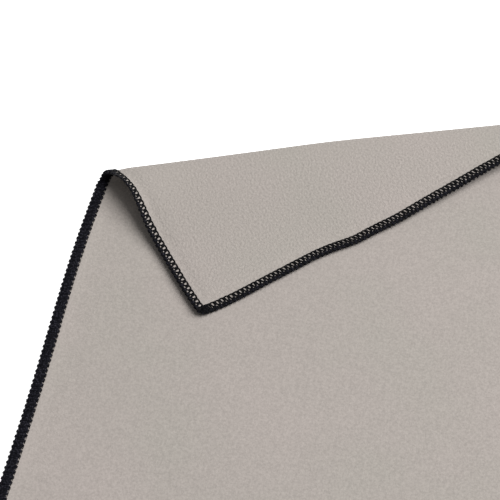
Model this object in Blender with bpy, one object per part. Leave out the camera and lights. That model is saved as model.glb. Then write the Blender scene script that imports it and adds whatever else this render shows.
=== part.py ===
"""Quick dry travel towel, lying flat with one corner turned over.

One microfibre cloth blank with a 3-thread overlock sewn along each side. The towel is
drawn flat first, in cloth coordinates: s across the width, t along the length, n up
through the thickness. Every piece is then laid down through one fold function, which
leaves the panel where it is, rolls the crease round a soft radius and lets the turned
corner settle onto the panel.

Frame: X across the width, Y along the length, Z up, origin under the middle of the towel.
"""

from math import cos, pi, radians, sin

import bmesh
import bpy
from mathutils import Vector

# Towel, in metres
WIDTH = 0.400
LENGTH = 0.800
CLOTH_T = 0.0007  # microfibre suede, both faces napped
CORNER_R = 0.0060  # the four corners are cut round
GAP = 0.0003  # clearance between neighbouring pieces

# Overlock edge, measured inwards from the outside of the towel (d) and up from the table (n)
THREAD_T = 0.00045  # a looper's layer of thread
CUT_EDGE_D = THREAD_T + GAP  # where the cloth's own cut edge lies
MARGIN_LIFT = THREAD_T + GAP  # the cloth rides this high over the lower looper
SEAM_D = 0.0048  # the needle line
NEEDLE_W = 0.0005
RAMP_D = (0.0058, 0.0082)  # between these the cloth comes back down to the table
HEM_T = 2 * THREAD_T + 2 * GAP + CLOTH_T  # whole thickness of the sewn edge

# The turned corner is the one at -X +Y
FOLD_FROM_CORNER = 0.1109  # from that corner down the left side to the start of the roll
FOLD_ANGLE = radians(21.3)  # of the fold line against +X
ROLL_R = 0.0052  # outside radius of the soft fold
FLAP_DROP = 0.0540  # length over which the turned corner settles
FLAP_TOP = 0.0034  # height of its upper face where it has settled

# The crease is its own body between two hinge lines, an eighth of a turn from each end of the roll
HINGE_TURN = pi / 4
HINGE_GAP = 2 * GAP  # the inside of the roll is tighter, so this closes to GAP there
ROLL_STEPS = 16
DROP_STEPS = 9

CLOTH_COLOUR = (0.456, 0.413, 0.381, 1.0)
THREAD_COLOUR = (0.012, 0.012, 0.016, 1.0)

FOLD_START = Vector((-WIDTH / 2, LENGTH / 2 - FOLD_FROM_CORNER))
ALONG = Vector((cos(FOLD_ANGLE), sin(FOLD_ANGLE)))
ACROSS = Vector((-sin(FOLD_ANGLE), cos(FOLD_ANGLE)))
ROLL_LENGTH = pi * ROLL_R


def fresh_collection(name):
    collection = bpy.data.collections.new(name)
    bpy.context.scene.collection.children.link(collection)
    return collection


def material(name, colour, roughness):
    m = bpy.data.materials.new(name)
    m.use_nodes = True
    shader = m.node_tree.nodes["Principled BSDF"]
    shader.inputs["Base Color"].default_value = colour
    shader.inputs["Roughness"].default_value = roughness
    shader.inputs["Metallic"].default_value = 0.0
    return m


# ---------------------------------------------------------------- the fold


def smooth(x):
    x = min(max(x, 0.0), 1.0)
    return x * x * (3 - 2 * x)


def roll_profile(w):
    """Where the outer face is, w past the start of the roll: (outwards, up) and the face's inward normal."""
    if w <= 0:
        return Vector((w, 0.0)), Vector((0.0, 1.0))
    if w <= ROLL_LENGTH:
        turn = w / ROLL_R
        return (
            Vector((ROLL_R * sin(turn), ROLL_R - ROLL_R * cos(turn))),
            Vector((-sin(turn), cos(turn))),
        )
    back = w - ROLL_LENGTH
    fall = 2 * ROLL_R - FLAP_TOP
    x = min(back / FLAP_DROP, 1.0)
    slope = 6 * x * (1 - x) * fall / FLAP_DROP
    normal = Vector((slope, -1.0)).normalized()
    return Vector((-back, 2 * ROLL_R - fall * smooth(x))), normal


def lay_down(point):
    """A point of the flat towel (s, t, n) to where it lies with the corner turned over."""
    flat = Vector((point.x, point.y)) - FOLD_START
    along, w = flat.dot(ALONG), flat.dot(ACROSS)
    place, normal = roll_profile(w)
    place = place + normal * point.z
    ground = FOLD_START + ALONG * along + ACROSS * place.x
    return Vector((ground.x, ground.y, place.y))


def fold_stations():
    """Distances past the fold's start at which a piece needs an edge."""
    roll = [ROLL_LENGTH * i / ROLL_STEPS for i in range(ROLL_STEPS + 1)]
    fall = [ROLL_LENGTH + FLAP_DROP * i / DROP_STEPS for i in range(1, DROP_STEPS + 1)]
    return roll + fall


HINGE_W = (ROLL_R * HINGE_TURN, ROLL_R * (pi - HINGE_TURN))
# The two hinge lines run along the fold just outside the cloth. A quarter turn on each lays the corner out flat,
# with the cloth between them neither stretched nor bunched: (outwards, up)
HINGE_AT = {
    "crease": (ROLL_R * pi / 4, ROLL_R * (1 - pi / 4)),
    "flap": (ROLL_R * pi / 4, ROLL_R * (1 + pi / 4)),
}
SPANS = {
    "panel": (None, HINGE_W[0] - HINGE_GAP / 2),
    "crease": (HINGE_W[0] + HINGE_GAP / 2, HINGE_W[1] - HINGE_GAP / 2),
    "flap": (HINGE_W[1] + HINGE_GAP / 2, None),
}


# ---------------------------------------------------------------- cutting


def cut(bm, point, normal, keep_both=True):
    """Cuts a closed solid at a plane. Without keep_both the side the normal points to goes, and the cut is capped."""
    found = bmesh.ops.bisect_plane(
        bm,
        geom=bm.verts[:] + bm.edges[:] + bm.faces[:],
        dist=1e-7,
        plane_co=point,
        plane_no=normal,
        clear_outer=not keep_both,
    )
    if not keep_both:
        edges = [e for e in found["geom_cut"] if isinstance(e, bmesh.types.BMEdge)]
        if edges:
            bmesh.ops.holes_fill(bm, edges=edges, sides=0)


def keep_span(bm, low, high):
    """Keeps what lies between two distances past the fold's start."""
    n = Vector((ACROSS.x, ACROSS.y, 0.0))
    start = Vector((FOLD_START.x, FOLD_START.y, 0.0))
    if high is not None:
        cut(bm, start + n * high, n, keep_both=False)
    if low is not None:
        cut(bm, start + n * low, -n, keep_both=False)


def score(bm, low, high):
    """Adds the edges that the fold needs, where the piece crosses it."""
    n = Vector((ACROSS.x, ACROSS.y, 0.0))
    start = Vector((FOLD_START.x, FOLD_START.y, 0.0))
    for w in fold_stations():
        if (low is None or w > low + 1e-5) and (high is None or w < high - 1e-5):
            cut(bm, start + n * w, n)


def take_mesh(holder):
    """A curve object's mesh, welded, with the curve removed."""
    depsgraph = bpy.context.evaluated_depsgraph_get()
    mesh = bpy.data.meshes.new_from_object(holder.evaluated_get(depsgraph))
    bm = bmesh.new()
    bm.from_mesh(mesh)
    bm.transform(holder.matrix_world)
    bmesh.ops.remove_doubles(bm, verts=bm.verts[:], dist=1e-6)
    bpy.data.meshes.remove(mesh)
    curve = holder.data
    bpy.data.objects.remove(holder)
    bpy.data.curves.remove(curve)
    return bm


def hinge_empty(name, body, collection):
    """An empty on a hinge line, where the fold meets the left side, with its X axis along the fold."""
    out, up = HINGE_AT[body]
    empty = bpy.data.objects.new(name, None)
    ground = FOLD_START + ACROSS * out
    empty.location = (ground.x, ground.y, up)
    empty.rotation_euler = (0.0, 0.0, FOLD_ANGLE)
    empty.empty_display_size = 0.02
    collection.objects.link(empty)
    return empty


def hang_on(piece, empty):
    piece.parent = empty
    piece.matrix_parent_inverse = empty.matrix_world.inverted()


def finish(bm, name, collection, mat, hinges):
    bmesh.ops.dissolve_degenerate(bm, dist=1e-7, edges=bm.edges[:])
    bmesh.ops.triangulate(
        bm, faces=bm.faces[:], quad_method="FIXED", ngon_method="EAR_CLIP"
    )
    bmesh.ops.recalc_face_normals(bm, faces=bm.faces[:])
    for v in bm.verts:
        v.co = lay_down(v.co)
    mesh = bpy.data.meshes.new(name)
    bm.to_mesh(mesh)
    bm.free()
    mesh.materials.append(mat)
    mesh.shade_smooth()
    mesh.set_sharp_from_angle(angle=radians(35))
    piece = bpy.data.objects.new(name, mesh)
    collection.objects.link(piece)
    for body, empty in hinges.items():
        if name.endswith("_" + body):
            hang_on(piece, empty)
    return piece


# ---------------------------------------------------------------- outlines


def corner_centre(sx, sy):
    return Vector((sx * (WIDTH / 2 - CORNER_R), sy * (LENGTH / 2 - CORNER_R), 0.0))


def rounded_outline(inset, steps=6):
    """The towel's outline, counter-clockwise, inset from its outside."""
    points = []
    for sx, sy, first in ((1, -1, -90), (1, 1, 0), (-1, 1, 90), (-1, -1, 180)):
        c = corner_centre(sx, sy)
        r = CORNER_R - inset
        for i in range(steps + 1):
            a = radians(first + 90 * i / steps)
            points.append(Vector((c.x + r * cos(a), c.y + r * sin(a), 0.0)))
    return points


# side: the corner it starts from and the one it runs to, counter-clockwise
SIDES = {
    "bottom": ((-1, -1), (1, -1), 180),
    "right": ((1, -1), (1, 1), 270),
    "top": ((1, 1), (-1, 1), 0),
    "left": ((-1, 1), (-1, -1), 90),
}


def side_path(side, steps=6):
    """The outside line of one side, with the whole round corner at each end."""
    start, end, first = SIDES[side]
    points = []
    for (sx, sy), begin in ((start, first), (end, first + 90)):
        c = corner_centre(sx, sy)
        for i in range(steps + 1):
            a = radians(begin + 90 * i / steps)
            points.append(
                Vector((c.x + CORNER_R * cos(a), c.y + CORNER_R * sin(a), 0.0))
            )
    return points


# ---------------------------------------------------------------- cloth


def distance_in(p):
    """How far a point of the flat towel is inside its outline."""
    x = WIDTH / 2 - abs(p.x)
    y = LENGTH / 2 - abs(p.y)
    if x < CORNER_R and y < CORNER_R:
        return CORNER_R - Vector((CORNER_R - x, CORNER_R - y)).length
    return min(x, y)


def cloth_blank():
    """The cut cloth, flat, as a closed slab with the edges its raised margin needs."""
    curve = bpy.data.curves.new("cloth_outline", "CURVE")
    curve.dimensions = "2D"
    curve.fill_mode = "BOTH"
    curve.extrude = CLOTH_T / 2
    points = rounded_outline(CUT_EDGE_D)
    spline = curve.splines.new("POLY")
    spline.points.add(len(points) - 1)
    for target, p in zip(spline.points, points):
        target.co = (p.x, p.y, 0.0, 1.0)
    spline.use_cyclic_u = True
    holder = bpy.data.objects.new("cloth_outline", curve)
    holder.location.z = CLOTH_T / 2
    bpy.context.scene.collection.objects.link(holder)
    bpy.context.view_layer.update()
    bm = take_mesh(holder)
    bmesh.ops.dissolve_limit(
        bm, angle_limit=radians(0.5), verts=bm.verts[:], edges=bm.edges[:]
    )
    for d in RAMP_D:
        for sx, sy in ((1, 0), (-1, 0), (0, 1), (0, -1)):
            at = Vector((sx * (WIDTH / 2 - d), sy * (LENGTH / 2 - d), 0.0))
            cut(bm, at, Vector((sx, sy, 0.0)))
    for v in bm.verts:
        d = distance_in(v.co)
        lift = (RAMP_D[1] - d) / (RAMP_D[1] - RAMP_D[0])
        v.co.z += MARGIN_LIFT * min(max(lift, 0.0), 1.0)
    return bm


def make_cloth(collection, mat, hinges):
    blank = cloth_blank()
    for body, (low, high) in SPANS.items():
        bm = blank.copy()
        keep_span(bm, low, high)
        score(bm, low, high)
        finish(bm, "cloth_" + body, collection, mat, hinges)
    blank.free()


# ---------------------------------------------------------------- overlock


def looper_section(top):
    """A looper's layer of thread and the half of the cut edge that it wraps, as (d, n)."""
    wrap = HEM_T / 2 - GAP / 2
    chamfer = 0.00030
    reach = SEAM_D - GAP if top else SEAM_D + NEEDLE_W
    section = [
        (0.0, wrap),
        (0.0, chamfer),
        (chamfer, 0.0),
        (reach - chamfer / 2, 0.0),
        (reach, THREAD_T / 2),
        (reach - chamfer / 2, THREAD_T),
        (THREAD_T, THREAD_T),
        (THREAD_T, wrap),
    ]
    return [(d, HEM_T - n) for d, n in section] if top else section


def needle_section():
    """The needle thread's row of stitches, a flattened round."""
    r = NEEDLE_W / 2
    high = HEM_T - THREAD_T / 2
    return [
        (
            SEAM_D + r + r * cos(radians(45 * i)),
            high + THREAD_T / 2 * sin(radians(45 * i)),
        )
        for i in range(8)
    ]


def sewn_side(side, section):
    """A section carried along one side of the flat towel and mitred at the middle of each corner."""
    shape = bpy.data.curves.new("stitch_section", "CURVE")
    shape.dimensions = "2D"
    outline = shape.splines.new("POLY")
    outline.points.add(len(section) - 1)
    for target, (d, n) in zip(outline.points, section):
        target.co = (-d, n, 0.0, 1.0)
    outline.use_cyclic_u = True
    shape_holder = bpy.data.objects.new("stitch_section", shape)
    bpy.context.scene.collection.objects.link(shape_holder)

    path = bpy.data.curves.new("stitch_path", "CURVE")
    path.dimensions = "3D"
    path.twist_mode = "Z_UP"
    path.bevel_mode = "OBJECT"
    path.bevel_object = shape_holder
    path.use_fill_caps = True
    points = side_path(side)
    spline = path.splines.new("POLY")
    spline.points.add(len(points) - 1)
    for target, p in zip(spline.points, points):
        target.co = (p.x, p.y, 0.0, 1.0)
    holder = bpy.data.objects.new("stitch_path", path)
    bpy.context.scene.collection.objects.link(holder)
    bpy.context.view_layer.update()
    bm = take_mesh(holder)
    bpy.data.objects.remove(shape_holder)
    bpy.data.curves.remove(shape)
    bmesh.ops.recalc_face_normals(bm, faces=bm.faces[:])

    start, end, _ = SIDES[side]
    middle = (corner_centre(*start) + corner_centre(*end)) / 2
    for sx, sy in (start, end):
        centre = corner_centre(sx, sy)
        out = Vector((sx, -sy, 0.0)).normalized()
        if out.dot(centre - middle) < 0:
            out = -out
        cut(bm, centre - out * GAP * 0.75, out, keep_both=False)
    return bm


def make_overlock(collection, mat, hinges):
    threads = {
        "upper_looper": looper_section(True),
        "lower_looper": looper_section(False),
        "needle_thread": needle_section(),
    }
    crossing = {
        "left": ("panel", "crease", "flap"),
        "top": ("panel", "crease", "flap"),
        "bottom": ("panel",),
        "right": ("panel",),
    }
    for side, bodies in crossing.items():
        for thread, section in threads.items():
            whole = sewn_side(side, section)
            for body in bodies:
                bm = whole.copy()
                low, high = SPANS[body]
                if len(bodies) > 1:
                    keep_span(bm, low, high)
                    score(bm, low, high)
                    name = f"{side}_{thread}_{body}"
                else:
                    name = f"{side}_{thread}"
                finish(bm, name, collection, mat, hinges)
            whole.free()


def main():
    for old in list(bpy.data.objects):
        bpy.data.objects.remove(old)
    towel = fresh_collection("quick_dry_towel")
    cloth = material("microfibre_cloth", CLOTH_COLOUR, 0.9)
    thread = material("overlock_thread", THREAD_COLOUR, 0.75)
    crease_hinge = hinge_empty("crease_hinge", "crease", towel)
    flap_hinge = hinge_empty("flap_hinge", "flap", towel)
    bpy.context.view_layer.update()
    hang_on(flap_hinge, crease_hinge)
    bpy.context.view_layer.update()
    hinges = {"crease": crease_hinge, "flap": flap_hinge}
    make_cloth(towel, cloth, hinges)
    make_overlock(towel, thread, hinges)


main()
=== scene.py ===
import math

import bmesh
import bpy
import numpy as np
from mathutils import Matrix, Vector


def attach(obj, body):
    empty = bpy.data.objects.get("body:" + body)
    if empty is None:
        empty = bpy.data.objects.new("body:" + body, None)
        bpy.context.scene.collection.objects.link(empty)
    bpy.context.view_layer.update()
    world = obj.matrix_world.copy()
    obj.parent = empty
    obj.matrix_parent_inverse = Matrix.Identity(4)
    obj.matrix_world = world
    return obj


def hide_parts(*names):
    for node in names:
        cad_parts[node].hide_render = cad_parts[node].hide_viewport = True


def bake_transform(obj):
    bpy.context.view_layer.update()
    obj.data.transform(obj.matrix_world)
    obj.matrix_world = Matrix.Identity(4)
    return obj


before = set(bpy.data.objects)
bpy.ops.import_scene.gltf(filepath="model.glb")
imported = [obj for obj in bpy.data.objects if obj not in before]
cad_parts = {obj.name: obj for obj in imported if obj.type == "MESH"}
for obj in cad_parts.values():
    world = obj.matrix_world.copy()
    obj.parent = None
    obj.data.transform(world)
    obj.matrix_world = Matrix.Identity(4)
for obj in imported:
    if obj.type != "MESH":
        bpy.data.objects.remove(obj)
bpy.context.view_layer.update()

RNG = np.random.default_rng(20)

# ================================================================ the towel, as the CAD has it (metres)

WIDTH = 0.400
LENGTH = 0.800
CORNER_R = 0.0060
FOLD_FROM_CORNER = 0.1109
FOLD_ANGLE = math.radians(21.3)
ROLL_R = 0.0052
FLAP_DROP = 0.0540
FLAP_TOP = 0.0029
ROLL_LENGTH = math.pi * ROLL_R
CREST = ROLL_LENGTH / 2
FOLD_X, FOLD_Y = -WIDTH / 2, LENGTH / 2 - FOLD_FROM_CORNER
COS, SIN = math.cos(FOLD_ANGLE), math.sin(FOLD_ANGLE)

# The cloth and where it rides between the two loopers along its margin
CLOTH_EDGE = 0.00075
FIELD_N = (0.0000, 0.0007)
MARGIN_N = (0.00060, 0.00122)
RAMP = (0.0048, 0.0120)


def smooth(x):
    x = np.clip(x, 0.0, 1.0)
    return x * x * (3 - 2 * x)


def bump(x, centre, reach):
    """1 at centre, smoothly 0 at reach away from it."""
    return np.exp(-(((x - centre) / reach) ** 2))


# ================================================================ the fold
# begin fold


def fold_axes(s, t):
    """Distance along the fold line from the left side, and across it."""
    x, y = s - FOLD_X, t - FOLD_Y
    return x * COS + y * SIN, -x * SIN + y * COS


def side_bow(s, t):
    """How far the cloth by the left side lies out from a straight edge."""
    near = np.exp(-(((s - FOLD_X) / 0.055) ** 2))
    return near * (0.0029 * bump(t, 0.250, 0.070) - 0.0007)


def curl(s, t, w):
    """The turned corner's free edges curl up off the towel: (sideways, towards the underside)."""
    loose = smooth((w - CREST - 0.003) / 0.014)
    reach = 0.0095
    left = np.clip(1 - (s + WIDTH / 2) / reach, 0.0, 1.3)
    rise = loose * (0.0019 + 0.0024 * bump(t, 0.318, 0.024))
    inward = 0.67 * rise**2 / reach
    top = np.clip(1 - (LENGTH / 2 - t) / reach, 0.0, 1.3)
    top_rise = loose * 0.0006 * smooth((s + 0.19) / 0.03)
    return inward * left**3, -rise * left**2 - top_rise * top**2


def crest_shift(along):
    """How far the soft fold strays from a straight line."""
    return (
        -0.0013 * bump(along, 0.015, 0.058)
        + 0.0006 * bump(along, 0.120, 0.030)
        - 0.0016 * bump(along, 0.225, 0.050)
    )


def drift(s, t, w):
    """How the turned corner lies off the plain fold: (towards +s, towards +t, up) as it settles."""
    loose = smooth((w - CREST) / 0.014)
    left = loose * np.exp(-(((s + WIDTH / 2) / 0.045) ** 2))
    slide = left * (0.0019 * bump(t, 0.323, 0.015) - 0.0010 * bump(t, 0.386, 0.022) - 0.0004)
    rise = loose * np.exp(-(((s + WIDTH / 2) / 0.024) ** 2)) * 0.0020 * bump(t, 0.320, 0.016)
    right = loose * np.exp(-(((t - LENGTH / 2) / 0.035) ** 2))
    sway = right * (
        -0.0014 * bump(s, -0.180, 0.020)
        + 0.0006 * bump(s, -0.133, 0.010)
        - 0.0013 * bump(s, -0.110, 0.009)
        - 0.0015 * bump(s, -0.088, 0.018)
        + 0.0026 * bump(s, -0.015, 0.030)
    )
    return slide, sway, rise


def lay_down(flat):
    """Points (s, t, n) of the flat towel to where they lie with the corner turned over."""
    s, t, n = flat[:, 0], flat[:, 1], flat[:, 2]
    _, w = fold_axes(s, t)
    inward, rise = curl(s, t, w)
    slide, sway, lift = drift(s, t, w)
    along, w = fold_axes(s - side_bow(s, t) + inward, t)
    n = n + rise
    turn = np.clip(w / ROLL_R, 0.0, math.pi)
    back = np.maximum(w - ROLL_LENGTH, 0.0)
    fall = 2 * ROLL_R - FLAP_TOP
    x = np.clip(back / FLAP_DROP, 0.0, 1.0)
    out = np.minimum(w, 0.0) + ROLL_R * np.sin(turn) - back
    up = ROLL_R - ROLL_R * np.cos(turn) - fall * smooth(x)
    slope = 6 * x * (1 - x) * fall / FLAP_DROP
    lean_out = np.where(back > 0, slope, -np.sin(turn))
    lean_up = np.where(back > 0, -1.0, np.cos(turn))
    size = np.hypot(lean_out, lean_up)
    out = out + n * lean_out / size
    up = up + n * lean_up / size
    out = out + crest_shift(along) * smooth(w / CREST) * (
        1 - smooth((w - ROLL_LENGTH) / 0.03)
    )
    # the left arm's way across it and the right arm's way across it, on the table
    along = along + slide * 0.87
    out = out + slide * 0.49 + sway * 0.93
    up = up + lift
    return np.stack(
        [FOLD_X + COS * along - SIN * out, FOLD_Y + SIN * along + COS * out, up],
        axis=1,
    )


# end fold


def across(flat):
    return fold_axes(flat[:, 0], flat[:, 1])[1]


# ================================================================ meshes


def make_mesh(name, flat, faces, material):
    """A mesh from flat points and groups of faces, laid down, with the flat point kept for the weave and the nap."""
    mesh = bpy.data.meshes.new(name)
    placed = lay_down(flat)
    mesh.vertices.add(len(placed))
    mesh.vertices.foreach_set("co", placed.astype(np.float32).ravel())
    loops = np.concatenate([f.ravel() for f in faces]).astype(np.int32)
    counts = np.concatenate([np.full(len(f), f.shape[1], np.int32) for f in faces])
    mesh.loops.add(len(loops))
    mesh.loops.foreach_set("vertex_index", loops)
    mesh.polygons.add(len(counts))
    starts = np.concatenate([[0], np.cumsum(counts)[:-1]]).astype(np.int32)
    mesh.polygons.foreach_set("loop_start", starts)
    mesh.update(calc_edges=True)
    mesh.validate()
    mesh.polygons.foreach_set("use_smooth", np.ones(len(mesh.polygons), bool))
    if len(mesh.vertices) == len(flat):
        kept = mesh.attributes.new("flat", "FLOAT_VECTOR", "POINT")
        kept.data.foreach_set("vector", flat.astype(np.float32).ravel())
    mesh.materials.append(material)
    obj = bpy.data.objects.new(name, mesh)
    bpy.context.scene.collection.objects.link(obj)
    return obj


def hang(obj, flat, part):
    """Hangs a plain piece on the panel body. Any other piece only has its transform baked; its share of the soft fold,
    by how far round the roll a point is, is worked out and left unused.
    """
    if part == "plain":
        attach(obj, "panel")
        return
    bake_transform(obj)
    w = across(flat)
    share = smooth(w / CREST)
    if part == "flap":
        share = smooth((w - CREST) / CREST) * (1 - held_up(flat))


def held_up(flat):
    """The fold's share of a point that lies higher than the roll."""
    under = flat.copy()
    under[:, 2] = -0.0003
    placed = lay_down(under)
    back = np.maximum(-across(placed), 0.0)
    high = np.maximum(placed[:, 2] - 2 * ROLL_R + 0.0003, 0.0)
    return high / (ROLL_R + back + high)


# ================================================================ materials


def shader_nodes(name, roughness):
    m = bpy.data.materials.new(name)
    m.use_nodes = True
    tree = m.node_tree
    shader = tree.nodes["Principled BSDF"]
    shader.inputs["Roughness"].default_value = roughness
    shader.inputs["Metallic"].default_value = 0.0
    return m, tree, shader


def node(tree, kind, **values):
    made = tree.nodes.new(kind)
    for key, value in values.items():
        if key in made.inputs:
            made.inputs[key].default_value = value
        else:
            setattr(made, key, value)
    return made


def noise(tree, where, scale, detail=2.0, rough=0.5, stretch=None):
    """Noise in the cloth's own flat coordinates, in features per metre."""
    if stretch is not None:
        fit = node(tree, "ShaderNodeMapping")
        fit.inputs["Scale"].default_value = stretch
        tree.links.new(where, fit.inputs["Vector"])
        where = fit.outputs["Vector"]
    n = node(tree, "ShaderNodeTexNoise", Scale=scale, Detail=detail, Roughness=rough)
    tree.links.new(where, n.inputs["Vector"])
    return n.outputs["Fac"]


def ramp(tree, value, stops):
    r = tree.nodes.new("ShaderNodeValToRGB")
    while len(r.color_ramp.elements) < len(stops):
        r.color_ramp.elements.new(0.5)
    for e, (at, colour) in zip(r.color_ramp.elements, stops):
        e.position = at
        e.color = (*colour, 1.0)
    tree.links.new(value, r.inputs["Fac"])
    return r.outputs["Color"]


def math_node(tree, how, a, b, clamp=False):
    m = tree.nodes.new("ShaderNodeMath")
    m.operation = how
    m.use_clamp = clamp
    for k, x in enumerate((a, b)):
        if isinstance(x, (int, float)):
            m.inputs[k].default_value = x
        else:
            tree.links.new(x, m.inputs[k])
    return m.outputs[0]


def mix_colour(tree, share, a, b, how="MIX"):
    m = tree.nodes.new("ShaderNodeMix")
    m.data_type = "RGBA"
    m.blend_type = how
    for socket, x in ((m.inputs[0], share), (m.inputs[6], a), (m.inputs[7], b)):
        if isinstance(x, (int, float)):
            socket.default_value = x
        elif isinstance(x, tuple):
            socket.default_value = (*x, 1.0)
        else:
            tree.links.new(x, socket)
    return m.outputs[2]


def cloth_material():
    """Napped microfibre: a warm grey with slow drifts of painted shade for gentle undulations, a fine grain, and faint
    wales on the smoother face.
    """
    m, tree, shader = shader_nodes("microfibre_cloth", 0.92)
    flat = node(tree, "ShaderNodeAttribute", attribute_name="flat").outputs["Vector"]
    painted_undulation_shade = noise(tree, flat, 14.0, 2.0, 0.5)
    # painted shade: these slow drifts of tone stand in for the soft shading of a gently undulating cloth
    colour = ramp(
        tree,
        painted_undulation_shade,
        (
            (0.30, (0.372, 0.345, 0.312)),
            (0.52, (0.384, 0.347, 0.320)),
            (0.72, (0.398, 0.355, 0.330)),
        ),
    )
    grain = noise(tree, flat, 900.0, 3.0, 0.65)
    colour = mix_colour(
        tree,
        1.0,
        colour,
        ramp(tree, grain, ((0.30, (0.87, 0.87, 0.87)), (0.70, (1.13, 1.13, 1.13)))),
        "MULTIPLY",
    )
    tree.links.new(colour, shader.inputs["Base Color"])
    fine = noise(tree, flat, 1500.0, 3.0, 0.6)
    pebble = noise(tree, flat, 780.0, 2.0, 0.5)
    wales = noise(tree, flat, 800.0, 1.0, 0.5, stretch=(1.0, 0.14, 1.0))
    split = tree.nodes.new("ShaderNodeSeparateXYZ")
    tree.links.new(flat, split.inputs[0])
    smooth_face = math_node(
        tree,
        "MULTIPLY",
        math_node(tree, "SUBTRACT", split.outputs["Z"], 0.00055),
        9000.0,
        clamp=True,
    )
    rough_face = math_node(tree, "SUBTRACT", 1.0, smooth_face)
    coarse = math_node(
        tree,
        "ADD",
        math_node(tree, "MULTIPLY", math_node(tree, "MULTIPLY", pebble, 4.6), rough_face),
        math_node(
            tree,
            "MULTIPLY",
            math_node(
                tree, "ADD", math_node(tree, "MULTIPLY", wales, 0.6), math_node(tree, "MULTIPLY", pebble, 0.3)
            ),
            smooth_face,
        ),
    )
    height = math_node(tree, "ADD", fine, coarse)
    b = node(tree, "ShaderNodeBump", Strength=0.30, Distance=0.0004)
    tree.links.new(height, b.inputs["Height"])
    tree.links.new(b.outputs["Normal"], shader.inputs["Normal"])
    shader.inputs["Specular IOR Level"].default_value = 0.12
    shader.inputs["Sheen Weight"].default_value = 0.10
    shader.inputs["Sheen Roughness"].default_value = 0.6
    return m


def thread_material(name, dark, middle, light):
    """Textured polyester thread, near black, with the glints of its filaments painted into the colour as lighter
    specks.
    """
    m, tree, shader = shader_nodes(name, 0.62)
    flat = node(tree, "ShaderNodeAttribute", attribute_name="flat").outputs["Vector"]
    glint_specks_painted = noise(tree, flat, 1100.0, 3.0, 0.65)
    # painted highlights: the dark end is the thread's own near-black, the lighter specks are glints of its filaments
    # painted into the colour
    colour = ramp(
        tree,
        glint_specks_painted,
        (
            (0.38, dark),
            (0.54, middle),
            (0.67, light),
        ),
    )
    tree.links.new(colour, shader.inputs["Base Color"])
    fibres = noise(tree, flat, 3600.0, 2.0, 0.6)
    b = node(tree, "ShaderNodeBump", Strength=0.5, Distance=0.0002)
    tree.links.new(fibres, b.inputs["Height"])
    tree.links.new(b.outputs["Normal"], shader.inputs["Normal"])
    shader.inputs["Specular IOR Level"].default_value = 0.08
    shader.inputs["Sheen Weight"].default_value = 0.015
    shader.inputs["Sheen Roughness"].default_value = 0.5
    return m


CLOTH = cloth_material()
# the cover is a fluffed thread, faintly blue, with brighter painted glints; the other two are wound tighter and look
# darker, with fainter painted glints
FLUFFY = thread_material(
    "overlock_cover_thread", (0.0022, 0.0022, 0.0036), (0.0070, 0.0068, 0.0108), (0.0400, 0.0385, 0.0520)
)
TIGHT = thread_material(
    "overlock_seam_thread", (0.0015, 0.0015, 0.0018), (0.0034, 0.0033, 0.0040), (0.0150, 0.0145, 0.0170)
)

# ================================================================ the cloth


def distance_in(s, t, r=CORNER_R):
    """How far a point of the flat towel is inside its outline."""
    x = WIDTH / 2 - np.abs(s)
    y = LENGTH / 2 - np.abs(t)
    corner = r - np.hypot(r - x, r - y)
    return np.where((x < r) & (y < r), corner, np.minimum(x, y))


HEM_LINES = [0.00075, 0.0022, 0.0038, 0.0050, 0.0056, 0.0061, 0.0066, 0.0071, 0.0076, 0.0082, 0.0092, 0.0108]


def grid_lines(half, step):
    edge = [half - d for d in HEM_LINES]
    inner = edge[-1]
    count = int(math.ceil(2 * inner / step))
    middle = np.linspace(-inner, inner, count + 1)
    return np.unique(np.round(np.concatenate([-np.array(edge), middle, edge]), 7))


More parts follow.
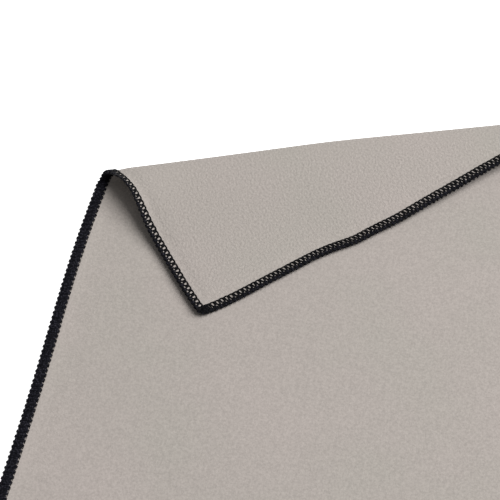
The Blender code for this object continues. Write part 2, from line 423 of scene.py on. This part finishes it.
def cloth_sheet():
    """The cut cloth as one flat layer of triangles, with closer edges at the hem and round the fold."""
    xs, ys = grid_lines(WIDTH / 2, 0.0045), grid_lines(LENGTH / 2, 0.0045)
    bm = bmesh.new()
    rows = [[bm.verts.new((x, y, 0.0)) for x in xs] for y in ys]
    for j in range(len(ys) - 1):
        for i in range(len(xs) - 1):
            bm.faces.new(
                (rows[j][i], rows[j][i + 1], rows[j + 1][i + 1], rows[j + 1][i])
            )
    # the round corners
    r = CORNER_R - CLOTH_EDGE
    for sx in (-1, 1):
        for sy in (-1, 1):
            for k in range(9):
                a = math.radians(5 + 10 * k)
                no = Vector((sx * math.cos(a), sy * math.sin(a), 0.0))
                at = Vector(
                    (sx * (WIDTH / 2 - CORNER_R), sy * (LENGTH / 2 - CORNER_R), 0.0)
                )
                near = [
                    v
                    for v in bm.verts
                    if v.co.x * sx > WIDTH / 2 - 0.02 and v.co.y * sy > LENGTH / 2 - 0.02
                ]
                edges = {e for v in near for e in v.link_edges}
                faces = {f for v in near for f in v.link_faces}
                bmesh.ops.bisect_plane(
                    bm,
                    geom=near + list(edges) + list(faces),
                    dist=1e-6,
                    plane_co=at + no * r,
                    plane_no=no,
                    clear_outer=True,
                )
    # the fold
    across_way = Vector((-SIN, COS, 0.0))
    start = Vector((FOLD_X, FOLD_Y, 0.0))
    stations = [-0.020, -0.012, -0.007, -0.004, -0.002, -0.001]
    stations += list(np.arange(0.0, CREST - 0.0006, 0.00055))
    stations += [CREST - 0.0004, CREST - 0.0002, CREST, CREST + 0.0002, CREST + 0.0004]
    stations += list(np.arange(CREST + 0.0009, ROLL_LENGTH + 0.001, 0.00055))
    stations += list(np.arange(ROLL_LENGTH + 0.0022, ROLL_LENGTH + 0.09, 0.0028))
    for w in stations:
        bmesh.ops.bisect_plane(
            bm,
            geom=bm.verts[:] + bm.edges[:] + bm.faces[:],
            dist=2e-6,
            plane_co=start + across_way * float(w),
            plane_no=across_way,
        )
    bmesh.ops.triangulate(bm, faces=bm.faces[:])
    bm.verts.index_update()
    points = np.array([v.co[:2] for v in bm.verts])
    tris = np.array([[v.index for v in f.verts] for f in bm.faces], int)
    bm.free()
    a, b, c = (points[tris[:, k]] for k in range(3))
    area = (b[:, 0] - a[:, 0]) * (c[:, 1] - a[:, 1]) - (b[:, 1] - a[:, 1]) * (
        c[:, 0] - a[:, 0]
    )
    tris = tris[np.abs(area) > 1e-13]
    area = area[np.abs(area) > 1e-13]
    tris[area < 0] = tris[area < 0][:, ::-1]
    return points, tris


def cloth_piece(name, points, tris, keep):
    """One side of the fold as a closed piece: both faces and the cut edge between them."""
    tris = tris[keep]
    used = np.unique(tris)
    index = np.full(len(points), -1)
    index[used] = np.arange(len(used))
    tris = index[tris]
    p = points[used]
    d = distance_in(p[:, 0], p[:, 1])
    lift = 1 - smooth((d - RAMP[0]) / (RAMP[1] - RAMP[0]))
    low = FIELD_N[0] + (MARGIN_N[0] - FIELD_N[0]) * lift
    high = FIELD_N[1] + (MARGIN_N[1] - FIELD_N[1]) * lift
    flat = np.concatenate(
        [np.column_stack([p, high]), np.column_stack([p, low])], axis=0
    )
    n = len(p)
    edges = np.concatenate([tris[:, [0, 1]], tris[:, [1, 2]], tris[:, [2, 0]]])
    key = np.sort(edges, axis=1)
    key = key[:, 0].astype(np.int64) * n + key[:, 1]
    values, counts = np.unique(key, return_counts=True)
    rim = edges[np.isin(key, values[counts == 1])]
    wall = np.column_stack([rim[:, 0], rim[:, 0] + n, rim[:, 1] + n, rim[:, 1]])
    obj = make_mesh(name, flat, [tris, tris[:, ::-1] + n, wall], CLOTH)
    obj.data.set_sharp_from_angle(angle=math.radians(50))
    return obj, flat


POINTS, TRIS = cloth_sheet()
CENTRES = POINTS[TRIS].mean(axis=1)
PAST = across(np.column_stack([CENTRES, np.zeros(len(CENTRES))])) > CREST
cloth, cloth_flat = cloth_piece("cloth_panel_side", POINTS, TRIS, ~PAST)
turned, turned_flat = cloth_piece("cloth_turned_corner", POINTS, TRIS, PAST)
hang(cloth, cloth_flat, "panel")
hang(turned, turned_flat, "flap")
for piece, nodes in ((cloth, ("cloth_panel", "cloth_crease")), (turned, ("cloth_flap",))):
    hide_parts(*nodes)

# ================================================================ the overlock
# Each side is sewn from the middle of one round corner to the middle of the next, clockwise seen from above:
# left, top, right, bottom. u runs along the outside of the towel, d inwards from it, n up through it.

SIDES = {
    "left": ((-1, -1), (-1, 1)),
    "top": ((-1, 1), (1, 1)),
    "right": ((1, 1), (1, -1)),
    "bottom": ((1, -1), (-1, -1)),
}
TURN_R = 0.0036  # the thread is pulled round each corner tighter than the cloth is cut
ARC = TURN_R * math.pi / 4


def side_ends(side):
    """The centres of the two round corners of a side."""
    (ax, ay), (bx, by) = SIDES[side]
    x, y = WIDTH / 2 - TURN_R, LENGTH / 2 - TURN_R
    return np.array([ax * x, ay * y]), np.array([bx * x, by * y])


def side_length(side):
    start, end = side_ends(side)
    return np.linalg.norm(end - start) + 2 * ARC


def side_point(side, u, d):
    """Flat (s, t) at u along a side and d in from the outside. u is 0 at the middle of the first corner."""
    start, end = side_ends(side)
    run = np.linalg.norm(end - start)
    along = (end - start) / run
    outward = np.array([-along[1], along[0]])
    straight = np.clip(u - ARC, 0.0, run)
    turn = np.where(
        u < ARC,
        (u - ARC) / TURN_R,
        np.where(u > ARC + run, (u - ARC - run) / TURN_R, 0.0),
    )
    # clockwise, so past the end the outward normal turns towards the way along
    c, k = np.cos(turn), np.sin(turn)
    normal = outward[None, :] * c[:, None] + along[None, :] * k[:, None]
    centre = start[None, :] + along[None, :] * straight[:, None]
    # inside the round of a corner the stitches bunch up and stop short of one another
    bunched = np.abs(turn) / (math.pi / 4)
    far = (TURN_R - d) * (1 - 0.45 * bunched * (d > TURN_R))
    return centre + normal * far[:, None]


def to_flat(side, local):
    """Local (u, d, n) points to flat (s, t, n)."""
    st = side_point(side, local[:, 0], local[:, 1])
    return np.column_stack([st, local[:, 2]])


def tubes(lines, radii, ref, sides=5, fuzz=0.0, press=1.0):
    """Strands along lines (strands, points, 3), pressed flat towards ref, a direction that none of them runs along."""
    lines = np.asarray(lines, float)
    count, steps, _ = lines.shape
    radii = np.broadcast_to(np.asarray(radii, float), (count, steps))
    tangent = np.gradient(lines, axis=1)
    tangent /= np.linalg.norm(tangent, axis=2, keepdims=True)
    side = np.cross(tangent, np.asarray(ref, float))
    side /= np.linalg.norm(side, axis=2, keepdims=True)
    up = np.cross(side, tangent)
    phase = RNG.uniform(0, 2 * math.pi, (count, 1, 1))
    angle = phase + 2 * math.pi * np.arange(sides) / sides
    ring = (
        lines[:, :, None, :]
        + radii[:, :, None, None]
        * (
            np.cos(angle)[..., None] * side[:, :, None, :]
            + press * np.sin(angle)[..., None] * up[:, :, None, :]
        )
    )
    if fuzz:
        ring = ring + RNG.normal(0, fuzz, ring.shape)
    verts = ring.reshape(-1, 3)
    base = (np.arange(count) * steps * sides)[:, None, None]
    i = np.arange(steps - 1)[None, :, None] * sides
    j = np.arange(sides)[None, None, :]
    k = (j + 1) % sides
    quads = np.stack(
        [base + i + j, base + i + sides + j, base + i + sides + k, base + i + k], axis=-1
    ).reshape(-1, 4)
    order = np.arange(sides)
    starts = np.arange(count)[:, None] * steps * sides
    caps = np.concatenate(
        [starts + order[None, :], starts + (steps - 1) * sides + order[None, ::-1]]
    )
    return verts, quads, caps


def gather(parts):
    """Several tube sets as one list of points and faces."""
    verts, quads, caps, at = [], [], [], 0
    for v, q, c in parts:
        verts.append(v)
        quads.append(q + at)
        caps.append(c + at)
        at += len(v)
    return np.concatenate(verts), np.concatenate(quads), np.concatenate(caps)


MM = 0.001


def wander(count, size):
    """Slow and quick irregularity from one stitch to the next."""
    slow = np.convolve(RNG.normal(0, 1, count + 8), np.ones(9) / 9, "valid") * 2.0
    return size * (0.6 * RNG.normal(0, 1, count) + 0.6 * slow)


def cover_strands(starts, pitch, sweep):
    """The bundle of each stitch that covers the smooth face, wraps the edge and ends in the other face's rim."""
    profile = np.array(
        [
            # d, n, how much of the sweep, how much shorter the outer strands of the bundle are
            (5.90, 1.26, 1.00, 1.00),
            (5.52, 1.54, 0.95, 1.00),
            (4.75, 1.70, 0.80, 0.50),
            (3.50, 1.74, 0.60, 0.10),
            (2.20, 1.74, 0.40, 0.00),
            (1.10, 1.68, 0.20, 0.30),
            (0.34, 1.46, 0.06, 1.20),
            (-0.15, 0.98, 0.00, 1.60),
            (0.15, 0.52, 0.00, 1.20),
            (0.85, 0.24, 0.03, 0.40),
            (1.20, 0.20, 0.06, -0.20),
            (2.78, 0.30, 0.08, -2.00),
        ]
    )
    radius = np.array([0.20, 0.31, 0.34, 0.35, 0.35, 0.35, 0.34, 0.32, 0.31, 0.31, 0.32, 0.22])
    strands = 4
    count = len(starts)
    lines = np.zeros((count, strands, len(profile), 3))
    reach, plump = wander(count, 0.10), wander(count, 0.05)
    for j in range(strands):
        off = (j - (strands - 1) / 2) / strands
        round_off = (2 * off) ** 2
        u = (
            starts[:, None] / MM
            + off * pitch * 0.88
            + sweep * pitch * profile[None, :, 2]
            + RNG.normal(0, 0.05, (count, 1))
            + RNG.normal(0, 0.035, (count, len(profile)))
        )
        inner = (profile[:, 0] > 3.5) * 1.0
        short = 1.15 * round_off * profile[:, 3]
        d = (
            profile[None, :, 0]
            - inner * short
            + (1 - inner) * short
            + reach[:, None] * inner
            + RNG.normal(0, 0.04, (count, len(profile)))
        )
        n = profile[None, :, 1] + np.where(profile[None, :, 1] > 0.98, 1.0, 0.0) * (
            -0.26 * round_off + plump[:, None]
        )
        lines[:, j, :, 0] = u
        lines[:, j, :, 1] = d
        lines[:, j, :, 2] = np.clip(n, 0.16, 1.86)
    lines = lines.reshape(-1, len(profile), 3) * MM
    return tubes(lines, radius * MM, (1.0, 0.0, 0.0), sides=5, fuzz=0.020 * MM)


CUSP_D = 4.26


def lattice_strands(cusps, pitch, lean, ring_d, swell):
    """The open face: from each cusp of the seam two legs of the lower looper spread to a ring by the rim."""
    count = len(cusps)
    u0 = cusps[:, None] / MM
    lean = lean[:, None] + wander(count, 0.10)[:, None]
    tight = wander(count, 0.05)[:, None]
    ring_d = ring_d + wander(count, 0.06)[:, None]
    wide = pitch / 2.93
    swell = swell[:, None]
    sets = []
    # two plies round each ring
    a = np.radians(np.linspace(-75, 285, 13))[None, :]
    for ru, rd, up in ((0.70 * wide, 0.68, 0.30), (1.02 * wide, 0.96, 0.24)):
        ru, rd = ru + tight, rd + tight
        ring = np.stack(
            [
                u0 + lean + ru * np.cos(a) - 0.12 * np.sin(a),
                ring_d + rd * np.sin(a),
                up + 0.05 * np.sin(2 * a) + 0 * u0,
            ],
            axis=-1,
        )
        sets.append(tubes(ring * MM, 0.25 * wide * swell * MM, (0, 0, 1.0), 5, 0.014 * MM))
    f = np.linspace(0, 1, 7)[None, :]
    thick = np.array([0.48, 0.50, 0.47, 0.43, 0.39, 0.34, 0.30]) * wide
    for way in (-1.0, 1.0):
        start_u = way * 0.32 * wide
        end_u = lean + way * 0.86 * wide
        end_d = ring_d + 0.20
        leg = np.stack(
            [
                u0 + start_u + (end_u - start_u) * f ** (1.10 if way > 0 else 0.95),
                CUSP_D + 0.05 + (end_d - CUSP_D - 0.05) * f,
                0.30 - 0.06 * np.sin(math.pi * f) * way + 0 * u0,
            ],
            axis=-1,
        )
        sets.append(tubes(leg * MM, thick * swell * MM, (0, 0, 1.0), 5, 0.014 * MM, 0.7))
    # the legs cross over one another between the cusp and the ring
    f = np.linspace(0, 1, 5)[None, :]
    cross = np.stack(
        [
            u0 + lean * f,
            CUSP_D + 0.05 + (ring_d + 0.86 - CUSP_D - 0.05) * f,
            0.34 + 0.05 * np.sin(math.pi * f) + 0 * u0,
        ],
        axis=-1,
    )
    sets.append(tubes(cross * MM, 0.34 * wide * swell * MM, (1.0, 0, 0), 5, 0.014 * MM))
    return sets


def solid_strands(first, last, total):
    """Round a corner, and over the fold, the lower looper is bunched into solid thread."""
    count = int((last - first) / (0.60 * MM))
    if count < 1:
        return []
    u = first + (np.arange(count) + 0.5) * (last - first) / count
    turn = np.clip(ARC - np.minimum(u, total - u), 0.0, ARC) / TURN_R
    # as far in as the seam, which round a corner is a longer way
    past = (CUSP_D + 0.55) * MM - TURN_R
    reach = TURN_R + past / (np.cos(turn) * (1 - 0.45 * turn / (math.pi / 4)))
    f = np.linspace(0, 1, 8)[None, :]
    line = np.stack(
        [
            u[:, None] / MM + RNG.normal(0, 0.05, (count, 8)),
            0.6 + (reach[:, None] / MM + RNG.normal(0, 0.08, (count, 1)) - 0.6) * f,
            0.27 - 0.08 * np.sin(math.pi * f) + RNG.normal(0, 0.04, (count, 8)),
        ],
        axis=-1,
    )
    return [tubes(line * MM, 0.37 * MM, (1.0, 0, 0), 5, 0.02 * MM)]


def seam_strands(cusps, pitch):
    """The needle thread: a chain of arcs on the open face and a short stitch on the covered one."""
    count = len(cusps)
    u0 = cusps[:, None] / MM
    span = np.diff(cusps, append=cusps[-1] + pitch * MM)[:, None] / MM
    f = np.linspace(-0.06, 1.06, 9)[None, :]
    bulge = 0.50 + wander(count, 0.06)[:, None]
    arc = np.stack(
        [
            u0 + span * f,
            CUSP_D + bulge * np.sin(math.pi * np.clip(f, 0, 1)) ** 0.8,
            0.32 - 0.10 * np.cos(2 * math.pi * f) + 0 * u0,
        ],
        axis=-1,
    )
    f = np.linspace(0.10, 0.90, 5)[None, :]
    short = np.stack(
        [
            u0 + pitch * (f + 0.42),
            5.60 + 0.0 * f + 0 * u0,
            1.40 + 0.16 * np.sin(math.pi * f) + 0 * u0,
        ],
        axis=-1,
    )
    return [
        tubes(arc * MM, 0.42 * MM, (0, 0, 1.0), 5, 0.012 * MM),
        tubes(short * MM, 0.16 * MM, (0, 0, 1.0), 5, 0.008 * MM),
    ]


def band(side, first, last, section, step=0.0007):
    """A solid strip carried along a side, under the strands."""
    steps = max(2, int(math.ceil((last - first) / step)) + 1)
    us = np.linspace(first, last, steps)
    m = len(section)
    local = np.zeros((steps, m, 3))
    local[:, :, 0] = us[:, None]
    local[:, :, 1] = np.array(section)[None, :, 0] * MM
    local[:, :, 2] = np.array(section)[None, :, 1] * MM
    i = np.arange(steps - 1)[:, None] * m
    j = np.arange(m)[None, :]
    k = (j + 1) % m
    quads = np.stack([i + j, i + m + j, i + m + k, i + k], axis=-1).reshape(-1, 4)
    caps = np.array([np.arange(m), (steps - 1) * m + np.arange(m)[::-1]])
    return local.reshape(-1, 3), quads, caps


UPPER_BASE = [(0.55, 1.38), (4.90, 1.38), (5.05, 1.48), (4.90, 1.60), (0.60, 1.60), (0.38, 1.38), (0.38, 0.96), (0.60, 0.96)]
LOWER_BASE = [(0.60, 0.90), (0.38, 0.90), (0.38, 0.52), (0.60, 0.30), (1.15, 0.30), (1.25, 0.38), (1.15, 0.46), (0.60, 0.46)]


def sew(side):
    """All three threads of one side, in as many parts as the fold makes of it."""
    total = side_length(side)
    crest = {"left": LENGTH - FOLD_FROM_CORNER + CREST / COS, "top": (FOLD_FROM_CORNER - CREST / COS) / math.tan(FOLD_ANGLE)}
    corner = TURN_R - ARC
    if side == "left":
        parts = (("panel", 0.0, crest["left"] - corner, 2.81), ("flap", crest["left"] - corner, total, 2.93))
    elif side == "top":
        parts = (("flap", 0.0, crest["top"] - corner, 2.42), ("panel", crest["top"] - corner, total, 2.50))
    else:
        parts = (("plain", 0.0, total, 2.85 if side == "right" else 2.50),)
    for part, first, last, pitch in parts:
        # on the short sides the stitches start out longer at the corner
        longer = 0.0030 if side in ("top", "bottom") and first == 0.0 else 0.0
        count = int(round((last - first - longer) / (pitch * MM)))
        step = (last - first - longer) / count
        pitch = step / MM
        mine = (np.arange(count) + 0.5) * step
        mine = first + mine + longer * (1 - np.exp(-mine / 0.030)) + RNG.normal(0, 0.03 * MM, count)
        # the rings lean forward from their cusps, on the short sides more and more
        leans = np.full(count, 0.15 * pitch)
        if side in ("top", "bottom"):
            leans = pitch * (0.14 + 0.24 * smooth((mine - 0.015) / 0.060))
        ring_d = 2.22 if side in ("left", "right") else 2.18
        cusps = mine + (pitch / 2 - leans) * MM
        tail = "" if part == "plain" else "_" + part
        # bunched up at the corners and where the edge goes over the soft fold
        opens = max(0.0056, first + (0.0040 if side == "left" and part == "flap" else -0.01))
        closes = min(total - 0.0062, last - (0.0060 if side == "left" and part == "panel" else -0.01))
        lattice = (cusps > opens) & (cusps < closes)
        seam = (cusps > 0.0044) & (cusps < total - 0.0060)
        swell = np.full(count, 1.04 if side in ("left", "right") else 1.06)
        if side == "left" and part == "flap":
            swell = swell + 0.38 * smooth((first + 0.036 - mine) / 0.034)
        solid = []
        if opens > first:
            solid += solid_strands(first, cusps[lattice][0] - 0.40 * step, total)
        if closes < last:
            solid += solid_strands(cusps[lattice][-1] + (leans[0] + 0.62 * step / MM) * MM, last, total)
        sets = {
            "upper_looper": [
                cover_strands(mine, pitch, 0.42),
                band(side, first, last, UPPER_BASE),
            ],
            "lower_looper": lattice_strands(cusps[lattice], pitch, leans[lattice], ring_d, swell[lattice])
            + solid
            + [band(side, first, last, LOWER_BASE)],
            "needle_thread": seam_strands(cusps[seam], pitch),
        }
        for thread, parts in sets.items():
            faces = []
            verts, at_vert = [], 0
            for v, q, c in parts:
                faces.append((v, q + at_vert, c + at_vert))
                verts.append(v)
                at_vert += len(v)
            local = np.concatenate(verts)
            flat = to_flat(side, local)
            groups = [q for _, q, _ in faces] + [c for _, _, c in faces]
            material = FLUFFY if thread == "upper_looper" else TIGHT
            obj = make_mesh(f"{side}_{thread}{tail}_sewn", flat, groups, material)
            obj.data.set_sharp_from_angle(angle=math.radians(85))
            hang(obj, flat, part)
            name = f"{side}_{thread}"
            if part == "plain":
                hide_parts(name)
            elif part == "panel":
                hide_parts(name + "_panel", name + "_crease")
            else:
                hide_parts(name + "_flap")


for one_side in SIDES:
    sew(one_side)

# ================================================================ where it lies, the light and the camera


def floor():
    bm = bmesh.new()
    bmesh.ops.create_grid(bm, x_segments=2, y_segments=2, size=8.0)
    mesh = bpy.data.meshes.new("floor")
    bm.to_mesh(mesh)
    bm.free()
    obj = bpy.data.objects.new("floor", mesh)
    obj.location.z = -0.0003
    bpy.context.scene.collection.objects.link(obj)
    m, tree, shader = shader_nodes("pale_floor", 0.9)
    shader.inputs["Base Color"].default_value = (0.9, 0.9, 0.9, 1.0)
    shader.inputs["Specular IOR Level"].default_value = 0.0
    shader.inputs["Emission Color"].default_value = (1.0, 1.0, 1.0, 1.0)
    shader.inputs["Emission Strength"].default_value = 0.90
    mesh.materials.append(m)
    return obj


table = floor()


def area_light(name, place, aim, size, power, colour=(1.0, 1.0, 1.0)):
    data = bpy.data.lights.new(name, "AREA")
    data.shape = "DISK"
    data.size = size
    data.energy = power
    data.color = colour
    obj = bpy.data.objects.new(name, data)
    obj.location = place
    obj.rotation_mode = "QUATERNION"
    obj.rotation_quaternion = (Vector(aim) - Vector(place)).to_track_quat("-Z", "Y")
    bpy.context.scene.collection.objects.link(obj)
    return obj


LOOK = Vector((-0.12698, 0.54607, -0.82806)).normalized()
UP = Vector((-0.18755, 0.80654, 0.56064)).normalized()
RIGHT = LOOK.cross(UP).normalized()
EYE = Vector((0.01091, -0.27849, 0.82806))
AWAY = Vector((-0.22649, 0.97401, 0.0))
SEEN = Vector((-0.11607, 0.26759, 0.0))

key_place = SEEN + RIGHT * 1.85 + AWAY * 0.20 + Vector((0, 0, 2.60))
area_light("key_light", key_place, SEEN, 3.0, 141.0)

world = bpy.data.worlds.new("studio")
bpy.context.scene.world = world
world.use_nodes = True
background = world.node_tree.nodes["Background"]
background.inputs["Color"].default_value = (1.0, 1.0, 1.0, 1.0)
background.inputs["Strength"].default_value = 0.240

camera_data = bpy.data.cameras.new("camera")
camera_data.sensor_fit = "HORIZONTAL"
camera_data.sensor_width = 36.0
camera_data.lens = 144.0
camera_data.clip_start = 0.05
camera_data.clip_end = 50.0
camera_data.dof.use_dof = False
camera = bpy.data.objects.new("camera", camera_data)
camera.matrix_world = Matrix(
    (
        (RIGHT.x, UP.x, -LOOK.x, EYE.x),
        (RIGHT.y, UP.y, -LOOK.y, EYE.y),
        (RIGHT.z, UP.z, -LOOK.z, EYE.z),
        (0.0, 0.0, 0.0, 1.0),
    )
)
bpy.context.scene.collection.objects.link(camera)
bpy.context.scene.camera = camera
bpy.context.scene.view_settings.view_transform = "Standard"
bpy.context.scene.view_settings.look = "None"
